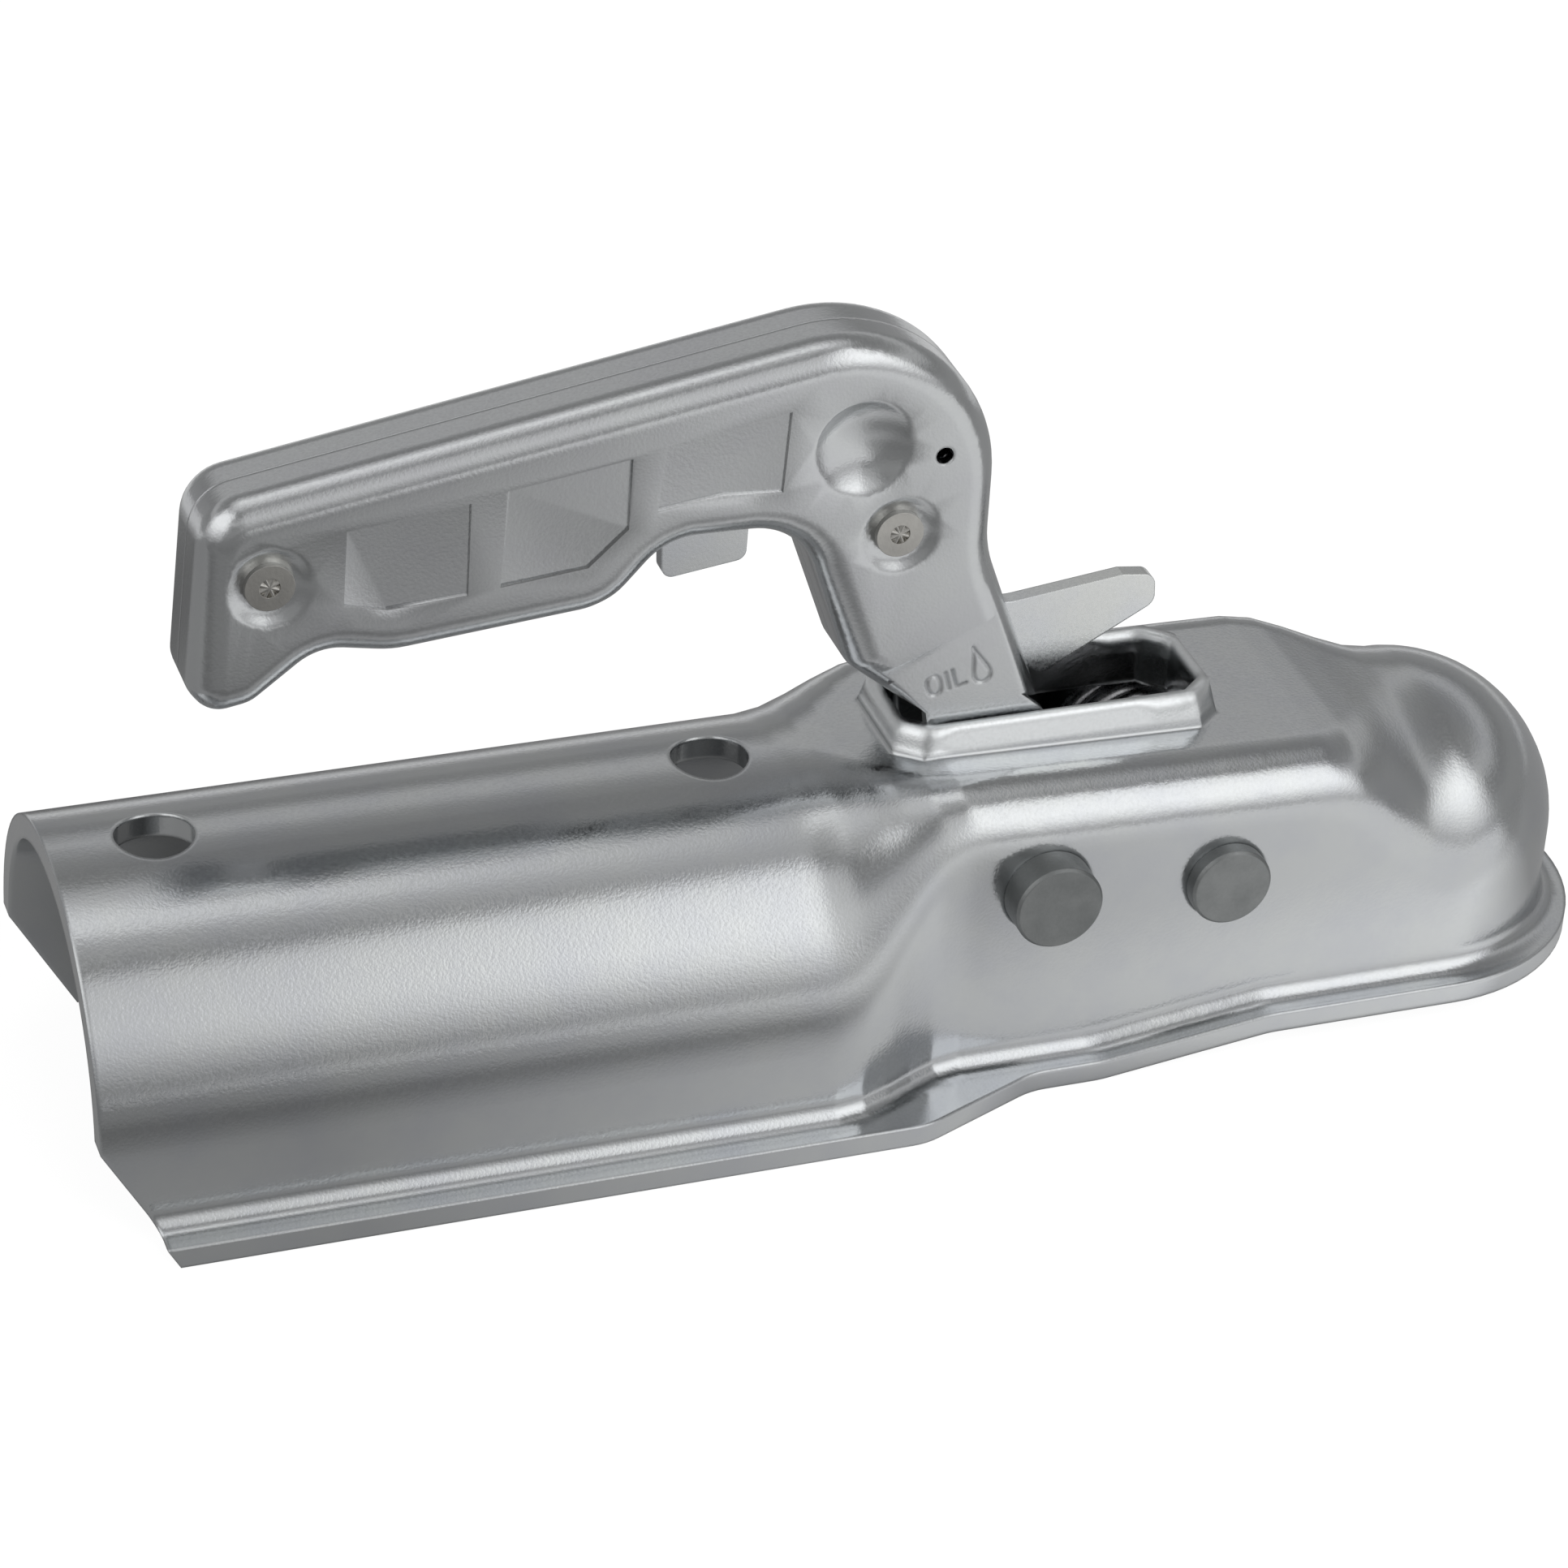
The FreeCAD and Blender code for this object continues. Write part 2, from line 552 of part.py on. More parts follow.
# Below the fold the face of the tray lies further in, flush with the cheek.
below_fold = outline("BelowFold", "XZ", [
    ("arm_front_x + 17.8", "fold_z + 9.4"), ("arm_front_x - 29.2", "fold_z - 10.1"),
    ("arm_front_x - 29.2", "collar_top - 6"), ("arm_front_x + 17.8", "collar_top - 6")], "-cheek_half")
fold_cut = extrude("FoldCut", below_fold, V(0, -1, 0), "handle_half")
# The foot of the arm is open between the cheeks.
foot_gap = doc.addObject("Part::Box", "FootGap")
bind(foot_gap, Length="26", Width=prefix("cheek_half - handle_sheet"), Height="6",
     Placement__Base__x=prefix("arm_front_x - 16"), Placement__Base__y=prefix("handle_sheet - cheek_half"),
     Placement__Base__z=prefix("collar_top - 2"))
tray_open = cut("TrayOpen", tray, fuse("TrayGaps", [fold_cut, foot_gap]))


def panel(name, corners):
    """Shallow pressed field on the outer face of a shell."""
    sk = outline(name, "XZ", corners, "-handle_half")
    return extrude(name + "Field", sk, V(0, 1, 0), "panel_deep")


slope = "grip_top_z + (%s - grip_rear_x) * tan(grip_angle)"
panels = [
    panel("PanelRear", [
        ("grip_rear_x + 26", slope % "(grip_rear_x + 26)" + " - 9.4"),
        ("grip_rear_x + 47.3", slope % "(grip_rear_x + 47.3)" + " - 10.6"),
        ("grip_rear_x + 47", slope % "(grip_rear_x + 47)" + " - 28.2"),
        ("grip_rear_x + 33", slope % "(grip_rear_x + 33)" + " - 26.6"),
        ("grip_rear_x + 25.5", slope % "(grip_rear_x + 25.5)" + " - 23.6")]),
    panel("PanelMid", [
        ("grip_rear_x + 53.6", slope % "(grip_rear_x + 53.6)" + " - 10.2"),
        ("grip_rear_x + 75.3", slope % "(grip_rear_x + 75.3)" + " - 10.6"),
        ("grip_rear_x + 75", slope % "(grip_rear_x + 75)" + " - 24"),
        ("grip_rear_x + 68", slope % "(grip_rear_x + 68)" + " - 29.4"),
        ("grip_rear_x + 52.6", slope % "(grip_rear_x + 52.6)" + " - 28.4")]),
    panel("PanelFront", [
        ("grip_rear_x + 81.4", slope % "(grip_rear_x + 81.4)" + " - 10"),
        ("grip_rear_x + 103.2", slope % "(grip_rear_x + 103.2)" + " - 10"),
        ("grip_rear_x + 102.3", slope % "(grip_rear_x + 102.3)" + " - 25.2"),
        ("grip_rear_x + 91.6", slope % "(grip_rear_x + 91.6)" + " - 22.6"),
        ("grip_rear_x + 80", slope % "(grip_rear_x + 80)" + " - 22.2")])]


def dish(name, at_x, at_z, rad, deep, flat):
    """Conical hollow pressed in from the outer face, and its bulge inside."""
    cone = doc.addObject("Part::Cone", name)
    cone.Placement = FreeCAD.Placement(V(), FreeCAD.Rotation(V(1, 0, 0), -90))
    bind(cone, Radius1=prefix(rad), Radius2=prefix(flat), Height=prefix(deep),
         Placement__Base__x=prefix(at_x), Placement__Base__y="-Sizes.handle_half",
         Placement__Base__z=prefix(at_z))
    bulge = doc.addObject("Part::Cone", name + "Bulge")
    bulge.Placement = FreeCAD.Placement(V(), FreeCAD.Rotation(V(1, 0, 0), -90))
    bind(bulge, Radius1=prefix("%s" % rad), Radius2=prefix("%s + 0.8" % flat), Height=prefix(deep),
         Placement__Base__x=prefix(at_x), Placement__Base__y="-Sizes.handle_half + Sizes.handle_sheet",
         Placement__Base__z=prefix(at_z))
    return cone, bulge


# Round dimple: part of a ball, with the same wall inside
dimple_at = ("rivet_front_x - 7.7", "rivet_front_z + 18")
dimple_ball = "(dimple_rad * dimple_rad + dimple_deep * dimple_deep) / (2 * dimple_deep)"
dimple = doc.addObject("Part::Sphere", "Dimple")
dimple_in = doc.addObject("Part::Sphere", "DimpleBulge")
for ball, rad in ((dimple, dimple_ball), (dimple_in, dimple_ball + " + handle_sheet")):
    ball.Placement = FreeCAD.Placement(V(), FreeCAD.Rotation(V(1, 0, 0), -90))
    bind(ball, Radius=prefix(rad), Placement__Base__x=prefix(dimple_at[0]),
         Placement__Base__y=prefix("-handle_half + dimple_deep - " + dimple_ball),
         Placement__Base__z=prefix(dimple_at[1]))
dimple_in.setExpression("Angle1", prefix("asin((%s - dimple_deep + handle_sheet - 0.4) / (%s + handle_sheet))"
                                         % (dimple_ball, dimple_ball)))
dish_front, dish_front_in = dish("DishFront", "rivet_front_x", "rivet_front_z", "dish_rad", "dish_deep", "5")
dish_rear, dish_rear_in = dish("DishRear", "rivet_rear_x", "rivet_rear_z", "dish_rad", "dish_deep", "5")
hang_hole = drum("HangHole", "1.6", "handle_half", ("rivet_front_x + 7.1", "-handle_half - 1", "rivet_front_z + 14.7"), "Y")
shank_front = drum("ShankFront", "rivet_rad", "handle_half + 1", ("rivet_front_x", "-handle_half - 1", "rivet_front_z"), "Y")
shank_rear = drum("ShankRear", "rivet_rad", "handle_half + 1", ("rivet_rear_x", "-handle_half - 1", "rivet_rear_z"), "Y")
bush_hole = drum("BushHole", "pivot_rad + run_gap + bush_wall", "3 * handle_half",
                 ("pivot_x", "-1.5 * handle_half", "pivot_z"), "Y")
pin_hole = drum("PinHole", "link_pin_rad", "3 * handle_half",
                ("pivot_x + link_dx", "-1.5 * handle_half", "pivot_z - link_dz"), "Y")
# Gap under the grip for the trigger tab, half in each shell
tab_gap = doc.addObject("Part::Box", "TabGap")
bind(tab_gap, Length="22", Width=prefix("trigger_thick / 2 + 0.5"), Height="16",
     Placement__Base__x=prefix("rivet_front_x - 43.5"),
     Placement__Base__y=prefix("-(trigger_thick / 2 + 0.5)"),
     Placement__Base__z=prefix("arch_top_z - 12"))
# The trigger lever leaves the arm through a slit along the front seam
nose_gap = doc.addObject("Part::Box", "NoseGap")
bind(nose_gap, Length="36", Width=prefix("trigger_thick / 2 + 0.5"), Height="24",
     Placement__Base__x=prefix("arm_front_x - 19"),
     Placement__Base__y=prefix("-(trigger_thick / 2 + 0.5)"),
     Placement__Base__z=prefix("fold_z - 20"))

shell_full = fuse("ShellFull", [tray_open, cheek, dimple_in, dish_front_in, dish_rear_in])
shell_tools = fuse("ShellTools", panels + [dimple, dish_front, dish_rear, hang_hole, shank_front,
                                           shank_rear, bush_hole, pin_hole, tab_gap, nose_gap])
shell_cut = cut("ShellCut", shell_full, shell_tools)


def mirrored(name, source):
    body = doc.addObject("Part::Mirroring", name)
    body.Source = source
    body.Normal = V(0, 1, 0)
    return body


def pair(name, body):
    """One piece on each side of the middle plane."""
    return fuse(name, [body, mirrored(name + "Far", body)])


def ring(name, rad, bore, at, start, end):
    """Tube across the head, from one distance to another on the far side."""
    x, z = at
    length = "(%s) - (%s)" % (end, start)
    solid = drum(name + "Bar", rad, length, (x, start, z), "Y")
    hole = drum(name + "Bore", bore, length + " + 2", (x, "(%s) - 1" % start, z), "Y")
    return cut(name, solid, hole)


def pin(name, rad, half, at):
    """Round bar across the head with a small edge break at both ends."""
    x, z = at
    bar = drum(name + "Bar", rad, "2 * (%s)" % half, (x, "-(%s)" % half, z), "Y")
    doc.recompute()
    body = doc.addObject("Part::Chamfer", name)
    body.Base = bar
    body.Edges = [(i + 1, get("pin_edge"), get("pin_edge")) for i, e in enumerate(bar.Shape.Edges)
                  if len(e.Vertexes) == 1]
    return body


near_shell = doc.addObject("Part::Refine", "ShellNear")
near_shell.Source = shell_cut
place(near_shell, "handle_shell_near")
far_shell = place(mirrored("ShellFar", shell_cut), "handle_shell_far")

# Rivets: hollow, with a flat head in the dish of each shell
head_in = "handle_half - dish_deep"


def rivet(name, at):
    shank = drum(name + "Shank", "rivet_rad", "2 * (%s)" % head_in, (at[0], "-(%s)" % head_in, at[1]), "Y")
    heads = [drum(name + "HeadNear", "rivet_head", "dish_deep - 0.3", (at[0], "-handle_half + 0.3", at[1]), "Y"),
             drum(name + "HeadFar", "rivet_head", "dish_deep - 0.3", (at[0], head_in, at[1]), "Y")]
    bore = drum(name + "Bore", "rivet_rad - 1.2", "2 * handle_half", (at[0], "-handle_half", at[1]), "Y")
    return cut(name, fuse(name + "Full", [shank] + heads), bore)


front_at, rear_at = ("rivet_front_x", "rivet_front_z"), ("rivet_rear_x", "rivet_rear_z")
sleeve_end = "handle_half - handle_sheet - dish_deep"
place(rivet("FrontRivet", front_at), "handle_front_rivet")
place(rivet("RearRivet", rear_at), "handle_rear_rivet")
place(ring("FrontSleeve", "sleeve_rad", "rivet_rad", front_at, "-(%s)" % sleeve_end, sleeve_end),
      "front_rivet_sleeve")
place(ring("RearSleeve", "sleeve_rad", "rivet_rad", rear_at, "-(%s)" % sleeve_end, sleeve_end),
      "rear_rivet_spacer")

# Trigger: one flat lever with the finger tab behind and the catch in front
TRIGGER = [(-40.1, -8.1), (-24.9, -6), (-24.5, 6.6), (-10.8, 6.6), (-8, -3), (-5.3, -9), (5.7, -24.4),
           (20.7, -32), (32.7, -37.7), (53.4, -26), (53, -20.3), (46.7, -19.5), (24.4, -22.2), (17.7, -19.5),
           (13.7, -13), (8.7, -1), (4.7, 7.5), (-7.3, 13.5), (-40.7, 11)]
lever_form = outline("LeverForm", "XZ", [("rivet_front_x + %s" % dx, "rivet_front_z + %s" % dz)
                                         for dx, dz in TRIGGER])
lever = extrude("LeverPlate", lever_form, V(0, 1, 0), "trigger_thick", True)
doc.recompute()
lever_soft = round_corners("LeverSoft", lever, lever_form,
                           {0: 2.0, 1: 2.0, 2: 2.0, 6: 8.0, 8: 3.0, 9: 2.6, 10: 2.4, 12: 8.0, 13: 4.0, 17: 6.0,
                            18: 3.0}, "XZ")
boss = drum("LeverBoss", "sleeve_rad + 4", "trigger_thick",
            ("rivet_front_x", "-trigger_thick / 2", "rivet_front_z"), "Y")
lever_bore = drum("LeverBore", "sleeve_rad + run_gap", "trigger_thick + 2",
                  ("rivet_front_x", "-trigger_thick / 2 - 1", "rivet_front_z"), "Y")
place(cut("Trigger", fuse("LeverFull", [lever_soft, boss]), lever_bore), "trigger_catch")

# Pins, bush, spacers and retaining rings
pivot_at, jaw_at = ("pivot_x", "pivot_z"), ("jaw_x", "jaw_z")
link_at = ("pivot_x + link_dx", "pivot_z - link_dz")
jaw_link_at = ("jaw_x + jaw_link_dx", "jaw_z - jaw_link_dz")
wall_out = ball_out
wall_in = "(%s - sheet_thick)" % ball_out
place(pin("PivotPin", "pivot_rad", wall_out + " + pivot_stick", pivot_at), "pivot_pin")
place(pin("JawPin", "jaw_pin_rad", wall_out + " + jaw_stick", jaw_at), "jaw_pin")
place(ring("PivotBush", "pivot_rad + run_gap + bush_wall", "pivot_rad + run_gap", pivot_at,
           "-cheek_half", "cheek_half"), "pivot_bush")
place(pair("PivotSpacers", ring("PivotSpacer", "spacer_rad", "pivot_rad", pivot_at,
                                "cheek_half + side_gap", wall_in + " - spacer_gap")), "pivot_spacers")
place(pair("JawSleeves", ring("JawSleeve", "sleeve_out", "jaw_pin_rad", jaw_at,
                              "jaw_hub + side_gap", wall_in)), "jaw_sleeves")
place(pin("LinkPin", "link_pin_rad", "cheek_half + clip_wide + 1.4", link_at), "link_pin")
place(pair("LinkClips", ring("LinkClip", "clip_rad", "link_pin_rad", link_at,
                             "cheek_half", "cheek_half + clip_wide")), "link_pin_clips")
clip_in = "link_in + link_thick + side_gap"
place(pin("JawLinkPin", "link_pin_rad", clip_in + " + clip_wide + 1.2", jaw_link_at), "jaw_link_pin")
place(pair("JawLinkClips", ring("JawLinkClip", "clip_rad", "link_pin_rad", jaw_link_at,
                                clip_in, clip_in + " + clip_wide")), "jaw_link_clips")

# Links: two flat bars between the handle and the jaw
ux, uz = "link_run / link_len", "link_drop / link_len"
bar_form = outline("LinkForm", "XZ", [
    (link_at[0] + " - link_eye * " + uz, link_at[1] + " - link_eye * " + ux),
    (jaw_link_at[0] + " - link_eye * " + uz, jaw_link_at[1] + " - link_eye * " + ux),
    (jaw_link_at[0] + " + link_eye * " + uz, jaw_link_at[1] + " + link_eye * " + ux),
    (link_at[0] + " + link_eye * " + uz, link_at[1] + " + link_eye * " + ux)])
bar = extrude("LinkBar", bar_form, V(0, 1, 0), "link_thick")
bar.setExpression("Placement.Base.y", "Sizes.link_in")
eyes = [drum("LinkEyeRear", "link_eye", "link_thick", (link_at[0], "link_in", link_at[1]), "Y"),
        drum("LinkEyeFront", "link_eye", "link_thick", (jaw_link_at[0], "link_in", jaw_link_at[1]), "Y")]
bores = [drum("LinkBoreRear", "link_pin_rad + run_gap", "link_thick + 2",
              (link_at[0], "link_in - 1", link_at[1]), "Y"),
         drum("LinkBoreFront", "link_pin_rad + open_gap", "link_thick + 2",
              (jaw_link_at[0], "link_in - 1", jaw_link_at[1]), "Y")]
link = cut("Link", fuse("LinkFull", [bar] + eyes), fuse("LinkBores", bores))
place(pair("PullLinks", link), "pull_links")

# Jaw: hub on the jaw pin, web with the eye for the links, block with the ball seat
hub = drum("JawHub", "jaw_hub_rad", "2 * jaw_hub", ("jaw_x", "-jaw_hub", "jaw_z"), "Y")
web_form = outline("JawWebForm", "XZ", [
    ("jaw_x - 6.8", "jaw_z - 4"), ("jaw_x - 6.8", "jaw_z - 17"), ("jaw_x - 4.8", "jaw_z - jaw_link_dz + 1"),
    ("jaw_x + jaw_link_dx + 6.8", "jaw_z - jaw_link_dz"), ("jaw_x + 13", "jaw_z - 26"),
    ("jaw_x + 15", "jaw_z - 6"), ("jaw_x + 9", "jaw_z + 1")])
web_half = "link_in - side_gap"
web = extrude("JawWeb", web_form, V(0, 1, 0), "2 * (%s)" % web_half, True)
eye = drum("JawEye", "link_eye + 0.2", "2 * (%s)" % web_half,
           (jaw_link_at[0], "-(%s)" % web_half, jaw_link_at[1]), "Y")
block_form = outline("JawBlockForm", "XZ", [
    ("jaw_x + 10.6", "jaw_z - 27.4"), ("jaw_x + 27", "jaw_z - 27.4"), ("jaw_x + 29", "jaw_z - 25"),
    ("jaw_x + 29", "jaw_z - 4"), ("jaw_x + 19", "jaw_z - 0.5"), ("jaw_x + 10.6", "jaw_z - 4")])
block = extrude("JawBlock", block_form, V(0, 1, 0), "2 * jaw_half", True)
seat = doc.addObject("Part::Sphere", "JawSeat")
bind(seat, Radius=prefix(ball_in + " - 0.1"), Placement__Base__x="Sizes.nose_x",
     Placement__Base__z="Sizes.ball_z")
coil_room = pair("CoilRoom", drum("CoilRoomNear", "coil_rad + wire_rad + 0.9", "jaw_half",
                                  ("jaw_x", "jaw_hub", "jaw_z"), "Y"))
jaw_bore = drum("JawBore", "jaw_pin_rad + run_gap", "2 * jaw_hub + 2", ("jaw_x", "-jaw_hub - 1", "jaw_z"), "Y")
eye_bore = drum("JawEyeBore", "link_pin_rad", "4 * jaw_hub", (jaw_link_at[0], "-2 * jaw_hub", jaw_link_at[1]), "Y")
tip_gap = doc.addObject("Part::Box", "TipGap")
bind(tip_gap, Length=prefix("jaw_hub_rad + 7"), Width=prefix("trigger_thick + 1.4"),
     Height=prefix("jaw_hub_rad + 8"), Placement__Base__x=prefix("jaw_x - jaw_hub_rad - 1"),
     Placement__Base__y=prefix("-trigger_thick / 2 - 0.7"), Placement__Base__z=prefix("jaw_z - 7"))
jaw_tools = fuse("JawTools", [seat, coil_room, jaw_bore, eye_bore, tip_gap])
place(cut("Jaw", fuse("JawFull", [hub, web, eye, block]), jaw_tools), "clamp_jaw")


def coil(name, rad, wire, pitch, turns, start, at):
    """Round wire wound about a line across the head: half turns, tilted by the pitch, end to end."""
    x, y, z = at
    total, r, p = sheet_value(turns), sheet_value(rad), sheet_value(pitch)
    tilt = math.degrees(math.atan2(p, 4 * r))
    to_head = FreeCAD.Rotation(V(0, 1, 0), sheet_value(start)).multiply(FreeCAD.Rotation(V(1, 0, 0), -90))
    halves = []
    for k in range(math.ceil(2 * total - 0.001)):
        half = doc.addObject("Part::Torus", "%s%d" % (name, k))
        lean = FreeCAD.Rotation(V(0, 1, 0), tilt if k % 2 == 0 else -tilt)
        turn = lean.multiply(FreeCAD.Rotation(V(0, 0, 1), 180 * (k % 2)))
        half.Placement = FreeCAD.Placement(V(), to_head.multiply(turn))
        bind(half, Radius1=prefix("sqrt((%s) * (%s) + (%s) * (%s) / 16)" % (rad, rad, pitch, pitch)),
             Radius2=prefix(wire), Angle3=prefix("min(180; 360 * (%s) - %d)" % (turns, 180 * k)),
             Placement__Base__x=prefix(x), Placement__Base__z=prefix(z),
             Placement__Base__y=prefix("%s + (%s) * %s" % (y, pitch, (2 * k + 1) / 4)))
        halves.append(half)
    return fuse(name, halves)


def leg(name, rad, wire, start, length, at):
    """Straight wire leaving the coil at one angle; a negative length runs backwards."""
    x, y, z = at
    body = doc.addObject("Part::Cylinder", name)
    back = sheet_value(length) < 0
    body.Placement = FreeCAD.Placement(V(), FreeCAD.Rotation(V(0, 1, 0), sheet_value(start) + (0 if back else 180)))
    seat = ("-" if back else "") + "0.4 * " + wire
    bind(body, Radius=prefix(wire + " * 0.96"), Height=prefix("abs(%s) + 0.4 * %s" % (length, wire)),
         Placement__Base__x=prefix("%s + %s * cos(%s) + (%s) * sin(%s)" % (x, rad, start, seat, start)),
         Placement__Base__y=prefix(y),
         Placement__Base__z=prefix("%s - %s * sin(%s) + (%s) * cos(%s)" % (z, rad, start, seat, start)))
    return body


jaw_coil_end = "coil_start + 360 * coil_turns"
half_coil = coil("MainCoil", "coil_rad", "wire_rad", "coil_pitch", "coil_turns", "coil_start",
                 ("jaw_x", "coil_in", "jaw_z"))
rear_leg = leg("MainRearLeg", "coil_rad", "wire_rad", jaw_coil_end, "outer_leg",
               ("jaw_x", "coil_in + coil_pitch * coil_turns", "jaw_z"))
in_leg = leg("MainInLeg", "coil_rad", "wire_rad", "coil_start", "-bridge_leg", ("jaw_x", "coil_in", "jaw_z"))
bridge_x = "jaw_x + coil_rad * cos(coil_start) + bridge_leg * sin(coil_start)"
bridge_z = "jaw_z - coil_rad * sin(coil_start) + bridge_leg * cos(coil_start)"
bridge = drum("MainBridge", "wire_rad", "2 * coil_in", (bridge_x, "-coil_in", bridge_z), "Y")
side_spring = fuse("MainHalf", [half_coil, rear_leg, in_leg])
place(fuse("MainSpring", [side_spring, mirrored("MainHalfFar", side_spring), bridge]), "main_spring")

hair = coil("HairCoil", "hair_coil", "hair_rad", "2.2 * hair_rad", "2.5", "200",
            ("rivet_front_x", "trigger_thick / 2 + hair_rad + 0.3", "rivet_front_z"))
hair_leg_in = leg("HairLegIn", "hair_coil", "hair_rad", "200", "-hair_leg",
                  ("rivet_front_x", "trigger_thick / 2 + hair_rad + 0.3", "rivet_front_z"))
hair_leg_out = leg("HairLegOut", "hair_coil", "hair_rad", "200 + 900", "hair_leg",
                   ("rivet_front_x", "trigger_thick / 2 + hair_rad * 6.5 + 0.3", "rivet_front_z"))
place(fuse("HairSpring", [hair, hair_leg_in, hair_leg_out]), "trigger_spring")

doc.recompute()
NODES = ["housing", "handle_shell_near", "handle_shell_far", "handle_front_rivet", "handle_rear_rivet",
         "front_rivet_sleeve", "rear_rivet_spacer", "trigger_catch", "trigger_spring", "pivot_pin",
         "pivot_bush", "pivot_spacers", "link_pin", "link_pin_clips", "pull_links", "jaw_link_pin",
         "jaw_link_clips", "clamp_jaw", "jaw_pin", "jaw_sleeves", "main_spring"]
for obj in doc.Objects:
    if "Invalid" in obj.State or "Error" in obj.State:
        raise RuntimeError("%s did not compute" % obj.Name)
os.makedirs("parts", exist_ok=True)
for name in NODES:
    obj = doc.getObjectsByLabel(name)[0]
    shape = obj.Shape
    if shape.isNull() or not shape.isValid():
        raise RuntimeError("%s has no sound shape" % name)
    shape.exportStep("parts/%s.step" % name)
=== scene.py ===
import math

import bmesh
import bpy
from mathutils import Matrix, Vector


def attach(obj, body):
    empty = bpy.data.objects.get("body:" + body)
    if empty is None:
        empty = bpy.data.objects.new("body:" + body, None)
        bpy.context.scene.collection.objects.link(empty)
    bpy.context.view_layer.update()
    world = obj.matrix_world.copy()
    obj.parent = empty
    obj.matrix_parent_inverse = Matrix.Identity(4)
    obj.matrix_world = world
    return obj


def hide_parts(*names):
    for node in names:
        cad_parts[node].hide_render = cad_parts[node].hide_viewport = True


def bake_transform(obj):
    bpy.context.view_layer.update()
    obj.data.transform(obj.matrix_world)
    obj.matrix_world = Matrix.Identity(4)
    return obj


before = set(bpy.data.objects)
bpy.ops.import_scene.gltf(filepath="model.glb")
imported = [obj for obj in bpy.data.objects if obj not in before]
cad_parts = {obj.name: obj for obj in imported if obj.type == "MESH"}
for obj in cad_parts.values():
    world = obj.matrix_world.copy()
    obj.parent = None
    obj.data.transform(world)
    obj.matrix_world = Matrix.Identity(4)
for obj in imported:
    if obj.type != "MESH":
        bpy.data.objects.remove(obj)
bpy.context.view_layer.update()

MM = 0.001
IMAGE = 1932
FOCAL_PX = 6369.74
SENSOR = 36.0
GLARE = 2.0  # brightness that a full step of the studio's ramps stands for

# Places that the CAD fixes, in the row's own frame
FRONT_RIVET = Vector((3.2, 0, 104.0)) * MM
REAR_RIVET = Vector((-108.1, 0, 109.3)) * MM
HANDLE_HALF = 10.5 * MM
CHEEK_HALF = 9.8 * MM

# Parts of the housing that take wider rounding, as start and end in millimetres
SWELLS = ((-16, 15), (80, 110))  # tube to box and box to nose, along the head
SWELL_HEIGHT = (14, 54)
COLLAR_LENGTH = (2, 67)
COLLAR_MIDDLE = (16, 50)  # its straight stretch, between the corners
COLLAR_HEIGHT = (60.2, 70)
# Pale grey laid over the collar's base colour as a painted highlight
COLLAR_PAINTED_HIGHLIGHT = (0.80, 0.82, 0.83)
WIDE_EDGE = 6  # rounding at the swells, millimetres


def camera():
    """Camera at the photograph's place: its axes and its centre."""
    right = Vector((0.94465, -0.32447, 0.04847))
    up = Vector((0.13548, 0.52037, 0.84312))
    back = Vector((-0.29879, -0.78989, 0.53553))
    cam = bpy.data.cameras.new("camera")
    cam.sensor_width = SENSOR
    cam.lens = FOCAL_PX / IMAGE * SENSOR
    cam.clip_start, cam.clip_end = 0.05, 20
    obj = bpy.data.objects.new("camera", cam)
    place = Matrix((right, up, back)).transposed().to_4x4()
    place.translation = Vector((-287.3, -728.59, 543.23)) * MM
    obj.matrix_world = place
    bpy.context.scene.collection.objects.link(obj)
    bpy.context.scene.camera = obj


class Nodes:
    """Short way of wiring a node tree."""

    def __init__(self, tree):
        self.tree = tree

    def add(self, kind, **values):
        node = self.tree.nodes.new(kind)
        for key, value in values.items():
            if hasattr(node, key):
                setattr(node, key, value)
            else:
                node.inputs[key.replace("_", " ")].default_value = value
        return node

    def link(self, a, out, b, into):
        self.tree.links.new(a.outputs[out], b.inputs[into])

    def joined(self, kind, a, b):
        """Two values put together by one sum, such as MULTIPLY or MAXIMUM."""
        node = self.add("ShaderNodeMath", operation=kind)
        self.link(a, 0, node, 0)
        self.link(b, 0, node, 1)
        return node

    def span(self, source, out, low, high, new_low=0.0, new_high=1.0, kind="LINEAR"):
        """Value moved from one range to another, held at its ends."""
        node = self.add("ShaderNodeMapRange", interpolation_type=kind)
        for name, value in (("From Min", low), ("From Max", high), ("To Min", new_low), ("To Max", new_high)):
            node.inputs[name].default_value = value
        self.link(source, out, node, "Value")
        return node

    def ramp(self, source, out, stops):
        """Grey steps along a factor, given as place and brightness."""
        node = self.add("ShaderNodeValToRGB")
        line = node.color_ramp
        line.interpolation = "EASE"
        while len(line.elements) < len(stops):
            line.elements.new(0.5)
        for spot, (place, grey) in zip(line.elements, stops):
            spot.position = place
            spot.color = (grey / GLARE, grey / GLARE, grey / GLARE, 1)
        self.link(source, out, node, "Fac")
        return node


def new_material(name):
    material = bpy.data.materials.new(name)
    material.use_nodes = True
    return material, Nodes(material.node_tree), material.node_tree.nodes["Principled BSDF"]


